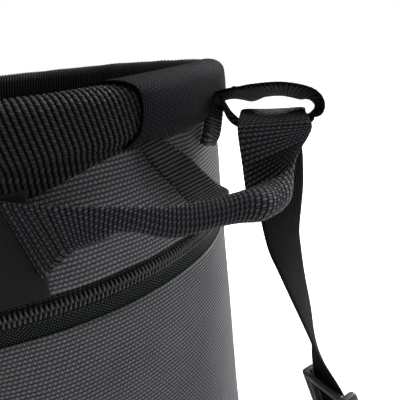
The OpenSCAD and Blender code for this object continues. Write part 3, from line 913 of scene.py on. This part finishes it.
# The gear loop's two edges as radius, angle and height, from under the sleeve down to the wall again. Some
# points on the photograph's outline come from the fitted camera at a chosen radius.
GEAR_FAR = [(132.6, -21.3, 379), (133.5, -18.1, 373.4), (136.5, -13.7, 364.1), (139.5, -10.6, 354.9),
            (141, -6.5, 346), (141.5, -1, 338), (138, 3, 332), (132, 5, 329)]
GEAR_NEAR = [(132.6, -26.6, 376.3), (133.5, -23.9, 371.5), (135.5, -22, 362.6), (138.5, -19.7, 354.6),
             (141, -17.6, 346.2), (141.5, -14, 338), (138, -9, 331), (132, -5, 328)]


def gear_loop(side):
    """A ribbed band that starts under the sleeve, stands off the wall and comes back to it lower down."""
    far, near = (spline([around(*p) for p in edge]) for edge in (GEAR_FAR, GEAR_NEAR))
    share = np.linspace(0, 1, 20)[None, :, None]
    surface, v = even(near[:, None] * (1 - share) + far[:, None] * share, (far + near) / 2, 0.45)
    name = name_of("gear_loop_webbing", side)
    piece = strip(name, surface, v, LOOP_WEBBING, side, rib=2.3, rib_height=0.45)
    wear(piece, "bag", "webbing", name_of("gear_loop", side))


for side in (1, -1):
    rim_loop(side)
    loop_anchor(side)
    gear_loop(side)


# ---------------------------------------------------------------- shoulder straps

STRAP_W = 30.0
# The front strap's two edges, from the anchor strip round to the fold over the rim loop. Some of the
# points on the photograph's outline come from the fitted camera at a chosen radius.
EDGE_A = [(86.3, -101.2, 366.6), (97, -98, 364), (108, -94, 362), (120, -88, 360), (129, -82, 358),
          (142, -72, 355), (154, -60, 354), (163, -51, 353), (170, -44, 355), (178, -36, 358),
          (182, -29, 364), (185.5, -24, 369), (187, -20.5, 372.5), (186, -18, 375.8), (183, -8, 377.3),
          (181.5, 2, 377.4), (180.8, 6.4, 375), (180.2, 5, 371.5), (179.8, 2.2, 368.6)]
EDGE_B = [(93.8, -95.7, 331.8), (101.9, -93.1, 340.9), (109.1, -92, 344), (118, -90.5, 347),
          (128, -85.5, 349.5), (142, -76, 343), (154, -65, 342), (162, -55, 344), (164, -48, 345),
          (164, -43, 346), (161, -39, 349), (159, -35, 360), (157, -31, 372.5), (156.5, -28, 376.5),
          (154, -14, 378.6), (152, -3, 378.6), (151, 2.2, 376.5), (150.5, 1.4, 372),
          (150.2, -1.9, 368.6)]


def hook_between(a, b, length, back, count):
    """A section that runs straight from a, turns back at b and ends behind itself."""
    chord = np.linalg.norm(b - a)
    down = (b - a) / chord
    back = unit(back - down * np.dot(back, down))
    radius = min(chord / 2, max(1.8, (length - chord) / (1.5 * math.pi - 1)))
    straight = chord - radius
    turn = max(0.0, (length - straight) / radius)
    t = np.linspace(0, length, count)
    theta = np.clip((t - straight) / radius, 0, turn)
    spiral = radius * (1 - 0.08 * theta)
    x = np.minimum(t, straight) + spiral * np.sin(theta)
    y = radius - spiral * np.cos(theta)
    return a + down * x[:, None] + back * y[:, None]


def arc_between(a, b, length, bulge, count):
    """A circular arc of the given length from a to b, bulging towards bulge."""
    chord = np.linalg.norm(b - a)
    ratio = min(0.9999, chord / length)
    low, high = 1e-3, 2 * math.pi
    for _ in range(40):
        turn = (low + high) / 2
        low, high = (turn, high) if math.sin(turn / 2) / (turn / 2) > ratio else (low, turn)
    radius = length / turn
    along = (b - a) / chord
    out = unit(bulge - along * np.dot(bulge, along))
    t = (np.linspace(0, 1, count) - 0.5) * turn
    centre = (a + b) / 2 - out * radius * math.cos(turn / 2)
    return centre + radius * (np.sin(t)[:, None] * along + np.cos(t)[:, None] * out)


def front_strap(side):
    """Webbing from the collar to the rim loop: its lower edge curls, and it turns over before the fold."""
    steps = 10
    a, b = spline(EDGE_A, steps), spline(EDGE_B, steps)
    middle = (a + b) / 2
    along = unit(np.gradient(middle, axis=0))
    turning = smoothstep(4.5 * steps, 7.5 * steps, np.arange(len(a)))
    rows = []
    for p, q, d, share in zip(a, b, along, turning):
        out = np.cross(q - p, d)
        length = max(STRAP_W, np.linalg.norm(q - p) * 1.001)
        hook = hook_between(p, q, length, -out, 30)
        rows.append(hook * (1 - share) + arc_between(p, q, length, out, 30) * share)
    surface, v = even(np.array(rows), middle, 0.42)
    gathered = 20.0
    ribs = 0.12 + 0.88 * (1 - smoothstep(gathered - 5, gathered, v))
    phase = np.minimum(v, gathered) / 3.2 + np.maximum(v - gathered, 0) / 1.7
    name = name_of("front_strap_webbing", side)
    piece = strip(name, surface, v, WEBBING, side, rib_height=ribs, phase=phase)
    wear(piece, "bag", "webbing", name_of("front_strap", side))


SLIDER_X, SLIDER_Z = 193.4, 210
# The hanging and the lower strap: x, z and the width's direction in degrees at each station
HANG = [(165, 369.2, 8), (164.6, 362, 14), (166, 350, 28), (168.2, 336, 48), (169.2, 312, 66),
        (172, 298, 76), (176, 281, 86), (181, 261, 96), (184, 246, 106), (187.6, 232, 122),
        (190.5, 221, 131), (SLIDER_X, SLIDER_Z, 133)]
FALL = [(SLIDER_X, SLIDER_Z, 133), (200.1, 186, 133), (206.8, 162, 133), (209, 138, 115),
        (206, 104, 98), (194, 68, 110), (176, 40, 145), (160, 31, 172), (146.4, 30, 180)]
# How far the lower strap's width direction tips upwards, so that the strap lies flat against its tab
FALL_TIP = [0.0] * (len(FALL) - 3) + [0.35, 1.2, 3.0]


def hanging(name, stations, side, start, end, node=None, tips=None):
    """A stretch of strap along the stations; start and end are not used."""
    middle = [(x, 0, z) for x, z, _ in stations]
    turns = [math.radians(turn) for _, _, turn in stations]
    tips = tips or [0.0] * len(stations)
    wide = [(math.cos(a), math.sin(a), tip) for a, tip in zip(turns, tips)]
    # painted shade: the strap takes the darkened copy of the black webbing
    piece = webbing(
        name_of(name, side), middle, wide, STRAP_W, side,
        rib=1.5, rib_height=0.07, thick=1.7, material=SHADED_WEBBING_BACK,
    )
    if node:
        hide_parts(node)
    start, end = [(side * x * MM, y * MM, z * MM) for x, y, z in (start, end)]
    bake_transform(piece)


def anchor_strip(side):
    """The strap's sewn end on the collar, with the strap's first fold rolled over it."""
    angle = -51.6
    z = np.linspace(COLLAR_LOW + 0.6, LIP_LOW + 2, 100)
    turn = np.linspace(-6.6, 6.6, 24)
    surface = around(WALL_R + 1.4 + 0 * z[:, None], angle + turn[None], z[:, None])
    piece = strip(name_of("anchor_webbing", side), surface, z - z[0], PATCH, side)
    wear(piece, "bag", "webbing", name_of("anchor_strip", side))


def strap_slider(side):
    """Moulded three-bar slider: the strap passes outside two of its bars and inside the middle one."""
    down = np.array([0.2676, 0, -0.9635])
    twist = math.radians(-43)
    wide = math.cos(twist) * np.array([0, 1, 0]) + math.sin(twist) * np.cross(down, [0, 1, 0])
    front = np.cross(down, wide)
    blocks = [((s * 18.1, 0, 0), (5.2, 9.0, 27), 1.9) for s in (-1, 1)]
    blocks += [((0, -3.2, z), (35, 3.2, 5.2), 1.4) for z in (-11, 11)]
    blocks += [((0, 3.2, 0), (35, 3.2, 5.2), 1.4)]
    basis = (tuple(wide), tuple(front), tuple(-down))
    at = (SLIDER_X, 0, SLIDER_Z)
    piece = rounded_blocks(name_of("slider_frame", side), blocks, PLASTIC, basis, at, side)
    node = name_of("strap_slider", side)
    wear(piece, node, "slider_plastic", node)


def base_tab(side):
    """A doubled end of webbing sewn to the wall above the base binding."""
    angle = np.linspace(-9, 9, 90)
    z = np.linspace(15, 49, 22)
    surface = around(WALL_R + 1.2, angle[:, None], z[None])
    name = name_of("base_tab_patch", side)
    piece = strip(name, surface, np.radians(angle) * WALL_R, WEBBING, side, thick=1.6)
    wear(piece, "bag", "webbing", name_of("base_tab", side))
    middle = [(131.5, 0, 30), (137, 0, 30), (142, 0, 30), (147.5, 0, 30)]
    stub = webbing(name_of("base_tab_stub", side), middle, [(0, 0, 1)] * 4, STRAP_W, side, thick=3.4)
    wear(stub, "bag", "webbing")


for side in (1, -1):
    strap_body = name_of("shoulder_strap", side)
    anchor_strip(side)
    front_strap(side)
    hanging("hanging_strap", HANG, side, (164, 0, 366), (164, 0, 300), strap_body)
    hanging("lower_strap", FALL, side, (180, 0, 44), (148, 0, 30), tips=FALL_TIP)
    strap_slider(side)
    base_tab(side)


# ---------------------------------------------------------------- base binding, handle, tie loops

def base_binding():
    angle = np.linspace(0, 360, 1100)
    z = np.linspace(0.5, BINDING_H - 0.3, 12)
    surface = around(WALL_R + 1.1, angle[:, None], z[None])
    v = np.radians(angle) * WALL_R
    piece = strip("base_binding_tape", surface, v, WEBBING, thick=1.3, rib=2.1, rib_height=0.15)
    wear(piece, "bag", "binding_tape", "base_binding")
    row = ring_stitches("base_stitches", WALL_R + 2.0, BINDING_H - 2.6, 0, 360, pitch=3.4, length=2.5)
    wear(row, "bag", "binding_tape")


HANDLE = [(131.4, 67, 348), (136, 70, 348), (154, 77, 348), (163, 90, 348), (154, 103, 348),
          (136, 110, 348), (131.4, 113, 348)]


def haul_handle():
    middle = [around(r, a, z) for r, a, z in HANDLE]
    piece = webbing("haul_handle_webbing", middle, [(0, 0, 1)] * len(middle), STRAP_W)
    wear(piece, "bag", "webbing", "haul_handle")
    bare = 22
    line = spline(middle)[bare:-bare]
    along = unit(np.gradient(line, axis=0))
    out = np.cross(along, [0, 0, 1])
    a = np.linspace(0, 2 * np.pi, 48, endpoint=False)
    shape = np.sign(np.cos(a)) * np.abs(np.cos(a)) ** 0.45, np.sign(np.sin(a)) * np.abs(np.sin(a)) ** 0.75
    t = np.linspace(0, 1, len(line))
    crown = 4.1 - 1.2 * np.abs(2 * t - 1) ** 6
    points = line[:, None] + np.array([0, 0, 1.0]) * (shape[0] * 18.6)[None, :, None]
    points = points + out[:, None] * shape[1][None, :, None] * crown[:, None, None]
    points = np.concatenate([line[:1, None] + 0 * points[:1], points, line[-1:, None] + 0 * points[-1:]])
    section = np.stack([shape[0] * 18.6, shape[1] * 4], -1)
    run = np.concatenate([[0], np.cumsum(np.linalg.norm(np.diff(line, axis=0), axis=1)) + 3])
    v = np.concatenate([[0], run + 3, [run[-1] + 6]])
    grip = grid("handle_grip_pad", points, run_of(section), v, GRIP_CLOTH, wrap_cols=True)
    wear(grip, "bag", "sleeve_fabric", "handle_grip")


def tie_loops():
    foot, at = FLOOR_Z + 2.8, 98
    base = [(-32, at, foot), (-18, at, foot), (-14, at, foot + 18), (0, at, foot + 26), (14, at, foot + 18),
            (18, at, foot), (32, at, foot)]
    piece = webbing("tie_loop_floor", base, [(0, 1, 0)] * 7, 20.0)
    wear(piece, "bag", "webbing", "tie_loop_base")
    r = LINER_R - 4.1
    top = [(0, r, 362), (0, r, 352), (0, r - 19, 342), (0, r - 24, 332), (0, r - 19, 322), (0, r, 312),
           (0, r, 302)]
    piece = webbing("tie_loop_wall", top, [(1, 0, 0)] * 7, 20.0)
    wear(piece, "bag", "webbing", "tie_loop_top")


base_binding()
haul_handle()
tie_loops()


# ---------------------------------------------------------------- carried-over CAD nodes

def paint(node, material):
    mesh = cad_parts[node].data
    mesh.materials.clear()
    mesh.materials.append(material)


CARRIED_OVER = {"base_board": PLASTIC, "rim_hoop": ROD, "hoop_ferrule": TUBE, "drain_eyelets": EYELET}
for node, material in CARRIED_OVER.items():
    paint(node, material)


# ---------------------------------------------------------------- stage and light

def stage():
    """A floor and a world that show as white but light the bag much less; the floor dims near the bag."""
    mesh = bpy.data.meshes.new("floor")
    half = 6.0
    corners = [(-half, -half, 0), (half, -half, 0), (half, half, 0), (-half, half, 0)]
    mesh.from_pydata(corners, [], [(0, 1, 2, 3)])
    floor = link("floor", mesh)
    paper = Shader("floor_paper", Roughness=0.8, Specular_IOR_Level=0.1)
    paper.principled.inputs["Base Color"].default_value = (0.85, 0.85, 0.85, 1)
    paper.principled.inputs["Emission Color"].default_value = (1, 1, 1, 1)
    away = paper.node("VectorMath", Vector=paper.node("TexCoord").outputs["Object"])
    away.operation = "LENGTH"
    glow = paper.math("MAXIMUM", paper.math("MULTIPLY", away.outputs["Value"], 1.1), 0.25)
    glow = paper.math("MINIMUM", glow, 1.0)
    seen = paper.node("LightPath").outputs["Is Camera Ray"]
    shown = paper.math("ADD", paper.math("MULTIPLY", seen, 0.75), 0.25)
    paper.set(Emission_Strength=paper.math("MULTIPLY", glow, shown))
    mesh.materials.append(paper.material)
    world = bpy.data.worlds.new("studio")
    bpy.context.scene.world = world
    world.use_nodes = True
    tree = world.node_tree
    background = tree.nodes["Background"]
    background.inputs["Color"].default_value = (1, 1, 1, 1)
    seen = tree.nodes.new("ShaderNodeLightPath")
    mix = tree.nodes.new("ShaderNodeMix")
    mix.inputs["A"].default_value = 0.13
    mix.inputs["B"].default_value = 1.0
    tree.links.new(seen.outputs["Is Camera Ray"], mix.inputs["Factor"])
    tree.links.new(mix.outputs["Result"], background.inputs["Strength"])


def softbox(name, azimuth, elevation, distance, size, power):
    """An area light aimed at the rim from an azimuth in the frame's angles."""
    data = bpy.data.lights.new(name, "AREA")
    data.shape = "DISK"
    data.size = size
    data.energy = power
    light = link(name, data)
    a, e = math.radians(azimuth), math.radians(elevation)
    away = Vector((math.cos(a) * math.cos(e), math.sin(a) * math.cos(e), math.sin(e)))
    light.location = Vector((0, 0, 0.3)) + away * distance
    light.rotation_mode = "QUATERNION"
    light.rotation_quaternion = away.to_track_quat("Z", "Y")


stage()
softbox("key", azimuth=62, elevation=38, distance=1.7, size=0.9, power=50)
softbox("top", azimuth=-50, elevation=76, distance=1.6, size=1.1, power=14)
softbox("side", azimuth=28, elevation=14, distance=1.8, size=1.2, power=14)
softbox("fill", azimuth=-140, elevation=25, distance=2.0, size=1.4, power=2)
bpy.context.scene.view_settings.view_transform = "Standard"
